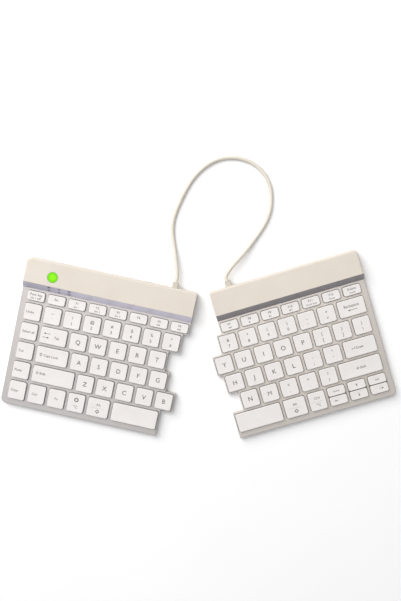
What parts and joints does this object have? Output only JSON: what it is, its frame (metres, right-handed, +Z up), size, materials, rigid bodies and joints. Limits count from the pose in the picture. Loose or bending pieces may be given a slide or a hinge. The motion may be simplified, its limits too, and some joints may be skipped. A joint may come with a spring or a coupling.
{
  "type": "split keyboard",
  "caption": "Low split keyboard with stepped inner edges, raised rear bars and scissor keys that press down, its halves joined by a short captive cable.",
  "frame": {"origin": "on the desk, under the middle of the footprint of both halves, cable left out", "axes": "+X along the keyboard to the user's right, +Y from the user to the rear bars, +Z up from the desk"},
  "size_m": [0.373, 0.2656, 0.013],
  "materials": {
    "base": "fine matt",
    "deck": "satin",
    "cover": "fine matt",
    "strip": "satin gloss",
    "lens": "translucent",
    "window": "smoked",
    "steel": "plain",
    "film": "printed film",
    "silicone": "translucent",
    "link": "plain",
    "board": "solder mask",
    "pouch": "laminated foil",
    "knob": "matt",
    "foot": "matt",
    "relief": "matt",
    "cable": "smooth",
    "key_cap": "fine matt"
  },
  "bodies": {
    "left_half": {"left_base_shell": "base", "left_top_frame": "deck", "left_rear_cover": "cover", "left_light_strip": "strip", "left_break_light": "lens", "left_indicator_lights": "window", "left_key_plate": "steel", "left_membrane": "film", "left_domes": "silicone", "left_scissor_links": "link", "left_circuit_board": "board", "left_battery": "pouch", "left_charge_port": "steel", "left_feet": "foot", "left_screws": "steel", "left_strain_relief": "relief", "link_cable": "cable"},
    "right_half": {"right_base_shell": "base", "right_top_frame": "deck", "right_rear_cover": "cover", "right_light_strip": "strip", "right_key_plate": "steel", "right_membrane": "film", "right_domes": "silicone", "right_scissor_links": "link", "right_circuit_board": "board", "right_feet": "foot", "right_screws": "steel", "right_strain_relief": "relief"},
    "power_switch": {"left_power_switch": "knob"},
    "left_function_keys": {"left_function_keys": "key_cap"},
    "left_number_keys": {"left_number_keys": "key_cap"},
    "left_edit_keys": {"left_edit_keys": "key_cap"},
    "left_tab_key": {"left_tab_key": "key_cap"},
    "left_qwert_keys": {"left_qwert_keys": "key_cap"},
    "left_caps_lock_key": {"left_caps_lock_key": "key_cap"},
    "left_asdfg_keys": {"left_asdfg_keys": "key_cap"},
    "left_shift_key": {"left_shift_key": "key_cap"},
    "left_zxcvb_keys": {"left_zxcvb_keys": "key_cap"},
    "left_modifier_keys": {"left_modifier_keys": "key_cap"},
    "left_alt_key": {"left_alt_key": "key_cap"},
    "left_space_bar": {"left_space_bar": "key_cap"},
    "right_function_keys": {"right_function_keys": "key_cap"},
    "right_number_keys": {"right_number_keys": "key_cap"},
    "right_backspace_key": {"right_backspace_key": "key_cap"},
    "right_yuiop_keys": {"right_yuiop_keys": "key_cap"},
    "right_hjkl_keys": {"right_hjkl_keys": "key_cap"},
    "right_enter_key": {"right_enter_key": "key_cap"},
    "right_nm_keys": {"right_nm_keys": "key_cap"},
    "right_shift_key": {"right_shift_key": "key_cap"},
    "right_space_bar": {"right_space_bar": "key_cap"},
    "right_alt_key": {"right_alt_key": "key_cap"},
    "right_ctrl_key": {"right_ctrl_key": "key_cap"},
    "right_home_key": {"right_home_key": "key_cap"},
    "right_left_key": {"right_left_key": "key_cap"},
    "right_up_key": {"right_up_key": "key_cap"},
    "right_down_key": {"right_down_key": "key_cap"},
    "right_end_key": {"right_end_key": "key_cap"},
    "right_right_key": {"right_right_key": "key_cap"}
  },
  "joints": [
    {"name": "right_half_splay", "type": "hinge", "parent": "left_half", "child": "right_half", "pos_m": [0.00592, 0.06927, 0], "axis": [0, 0, 1], "range_deg": [-22, 20], "deforming": ["link_cable"]},
    {"name": "power_switch_slide", "type": "slide", "parent": "left_half", "child": "power_switch", "axis": [0.9774, -0.2113, 0], "range_m": [0, 0.0025]},
    {"name": "left_function_keys_press", "type": "slide", "parent": "left_half", "child": "left_function_keys", "axis": [0, 0, -1], "range_m": [0, 0.0018], "stiffness_N_per_m": 2000, "springref_m": -0.001, "deforming": ["left_domes", "left_scissor_links"]},
    {"name": "left_number_keys_press", "type": "slide", "parent": "left_half", "child": "left_number_keys", "axis": [0, 0, -1], "range_m": [0, 0.0018], "stiffness_N_per_m": 1750, "springref_m": -0.001, "deforming": ["left_domes", "left_scissor_links"]},
    {"name": "left_edit_keys_press", "type": "slide", "parent": "left_half", "child": "left_edit_keys", "axis": [0, 0, -1], "range_m": [0, 0.0018], "stiffness_N_per_m": 1250, "springref_m": -0.001, "deforming": ["left_domes", "left_scissor_links"]},
    {"name": "left_tab_key_press", "type": "slide", "parent": "left_half", "child": "left_tab_key", "axis": [0, 0, -1], "range_m": [0, 0.0018], "stiffness_N_per_m": 250, "springref_m": -0.001, "deforming": ["left_domes", "left_scissor_links"]},
    {"name": "left_qwert_keys_press", "type": "slide", "parent": "left_half", "child": "left_qwert_keys", "axis": [0, 0, -1], "range_m": [0, 0.0018], "stiffness_N_per_m": 1250, "springref_m": -0.001, "deforming": ["left_domes", "left_scissor_links"]},
    {"name": "left_caps_lock_key_press", "type": "slide", "parent": "left_half", "child": "left_caps_lock_key", "axis": [0, 0, -1], "range_m": [0, 0.0018], "stiffness_N_per_m": 250, "springref_m": -0.001, "deforming": ["left_domes", "left_scissor_links"]},
    {"name": "left_asdfg_keys_press", "type": "slide", "parent": "left_half", "child": "left_asdfg_keys", "axis": [0, 0, -1], "range_m": [0, 0.0018], "stiffness_N_per_m": 1250, "springref_m": -0.001, "deforming": ["left_domes", "left_scissor_links"]},
    {"name": "left_shift_key_press", "type": "slide", "parent": "left_half", "child": "left_shift_key", "axis": [0, 0, -1], "range_m": [0, 0.0018], "stiffness_N_per_m": 250, "springref_m": -0.001, "deforming": ["left_domes", "left_scissor_links"]},
    {"name": "left_zxcvb_keys_press", "type": "slide", "parent": "left_half", "child": "left_zxcvb_keys", "axis": [0, 0, -1], "range_m": [0, 0.0018], "stiffness_N_per_m": 1250, "springref_m": -0.001, "deforming": ["left_domes", "left_scissor_links"]},
    {"name": "left_modifier_keys_press", "type": "slide", "parent": "left_half", "child": "left_modifier_keys", "axis": [0, 0, -1], "range_m": [0, 0.0018], "stiffness_N_per_m": 750, "springref_m": -0.001, "deforming": ["left_domes", "left_scissor_links"]},
    {"name": "left_alt_key_press", "type": "slide", "parent": "left_half", "child": "left_alt_key", "axis": [0, 0, -1], "range_m": [0, 0.0018], "stiffness_N_per_m": 250, "springref_m": -0.001, "deforming": ["left_domes", "left_scissor_links"]},
    {"name": "left_space_bar_press", "type": "slide", "parent": "left_half", "child": "left_space_bar", "axis": [0, 0, -1], "range_m": [0, 0.0018], "stiffness_N_per_m": 250, "springref_m": -0.001, "deforming": ["left_domes", "left_scissor_links"]},
    {"name": "right_function_keys_press", "type": "slide", "parent": "right_half", "child": "right_function_keys", "axis": [0, 0, -1], "range_m": [0, 0.0018], "stiffness_N_per_m": 1750, "springref_m": -0.001, "deforming": ["right_domes", "right_scissor_links"]},
    {"name": "right_number_keys_press", "type": "slide", "parent": "right_half", "child": "right_number_keys", "axis": [0, 0, -1], "range_m": [0, 0.0018], "stiffness_N_per_m": 1500, "springref_m": -0.001, "deforming": ["right_domes", "right_scissor_links"]},
    {"name": "right_backspace_key_press", "type": "slide", "parent": "right_half", "child": "right_backspace_key", "axis": [0, 0, -1], "range_m": [0, 0.0018], "stiffness_N_per_m": 250, "springref_m": -0.001, "deforming": ["right_domes", "right_scissor_links"]},
    {"name": "right_yuiop_keys_press", "type": "slide", "parent": "right_half", "child": "right_yuiop_keys", "axis": [0, 0, -1], "range_m": [0, 0.0018], "stiffness_N_per_m": 2000, "springref_m": -0.001, "deforming": ["right_domes", "right_scissor_links"]},
    {"name": "right_hjkl_keys_press", "type": "slide", "parent": "right_half", "child": "right_hjkl_keys", "axis": [0, 0, -1], "range_m": [0, 0.0018], "stiffness_N_per_m": 1500, "springref_m": -0.001, "deforming": ["right_domes", "right_scissor_links"]},
    {"name": "right_enter_key_press", "type": "slide", "parent": "right_half", "child": "right_enter_key", "axis": [0, 0, -1], "range_m": [0, 0.0018], "stiffness_N_per_m": 250, "springref_m": -0.001, "deforming": ["right_domes", "right_scissor_links"]},
    {"name": "right_nm_keys_press", "type": "slide", "parent": "right_half", "child": "right_nm_keys", "axis": [0, 0, -1], "range_m": [0, 0.0018], "stiffness_N_per_m": 1250, "springref_m": -0.001, "deforming": ["right_domes", "right_scissor_links"]},
    {"name": "right_shift_key_press", "type": "slide", "parent": "right_half", "child": "right_shift_key", "axis": [0, 0, -1], "range_m": [0, 0.0018], "stiffness_N_per_m": 250, "springref_m": -0.001, "deforming": ["right_domes", "right_scissor_links"]},
    {"name": "right_space_bar_press", "type": "slide", "parent": "right_half", "child": "right_space_bar", "axis": [0, 0, -1], "range_m": [0, 0.0018], "stiffness_N_per_m": 250, "springref_m": -0.001, "deforming": ["right_domes", "right_scissor_links"]},
    {"name": "right_alt_key_press", "type": "slide", "parent": "right_half", "child": "right_alt_key", "axis": [0, 0, -1], "range_m": [0, 0.0018], "stiffness_N_per_m": 250, "springref_m": -0.001, "deforming": ["right_domes", "right_scissor_links"]},
    {"name": "right_ctrl_key_press", "type": "slide", "parent": "right_half", "child": "right_ctrl_key", "axis": [0, 0, -1], "range_m": [0, 0.0018], "stiffness_N_per_m": 250, "springref_m": -0.001, "deforming": ["right_domes", "right_scissor_links"]},
    {"name": "right_home_key_press", "type": "slide", "parent": "right_half", "child": "right_home_key", "axis": [0, 0, -1], "range_m": [0, 0.0018], "stiffness_N_per_m": 250, "springref_m": -0.001, "deforming": ["right_domes", "right_scissor_links"]},
    {"name": "right_left_key_press", "type": "slide", "parent": "right_half", "child": "right_left_key", "axis": [0, 0, -1], "range_m": [0, 0.0018], "stiffness_N_per_m": 250, "springref_m": -0.001, "deforming": ["right_domes", "right_scissor_links"]},
    {"name": "right_up_key_press", "type": "slide", "parent": "right_half", "child": "right_up_key", "axis": [0, 0, -1], "range_m": [0, 0.0018], "stiffness_N_per_m": 250, "springref_m": -0.001, "deforming": ["right_domes", "right_scissor_links"]},
    {"name": "right_down_key_press", "type": "slide", "parent": "right_half", "child": "right_down_key", "axis": [0, 0, -1], "range_m": [0, 0.0018], "stiffness_N_per_m": 250, "springref_m": -0.001, "deforming": ["right_domes", "right_scissor_links"]},
    {"name": "right_end_key_press", "type": "slide", "parent": "right_half", "child": "right_end_key", "axis": [0, 0, -1], "range_m": [0, 0.0018], "stiffness_N_per_m": 250, "springref_m": -0.001, "deforming": ["right_domes", "right_scissor_links"]},
    {"name": "right_right_key_press", "type": "slide", "parent": "right_half", "child": "right_right_key", "axis": [0, 0, -1], "range_m": [0, 0.0018], "stiffness_N_per_m": 250, "springref_m": -0.001, "deforming": ["right_domes", "right_scissor_links"]}
  ]
}
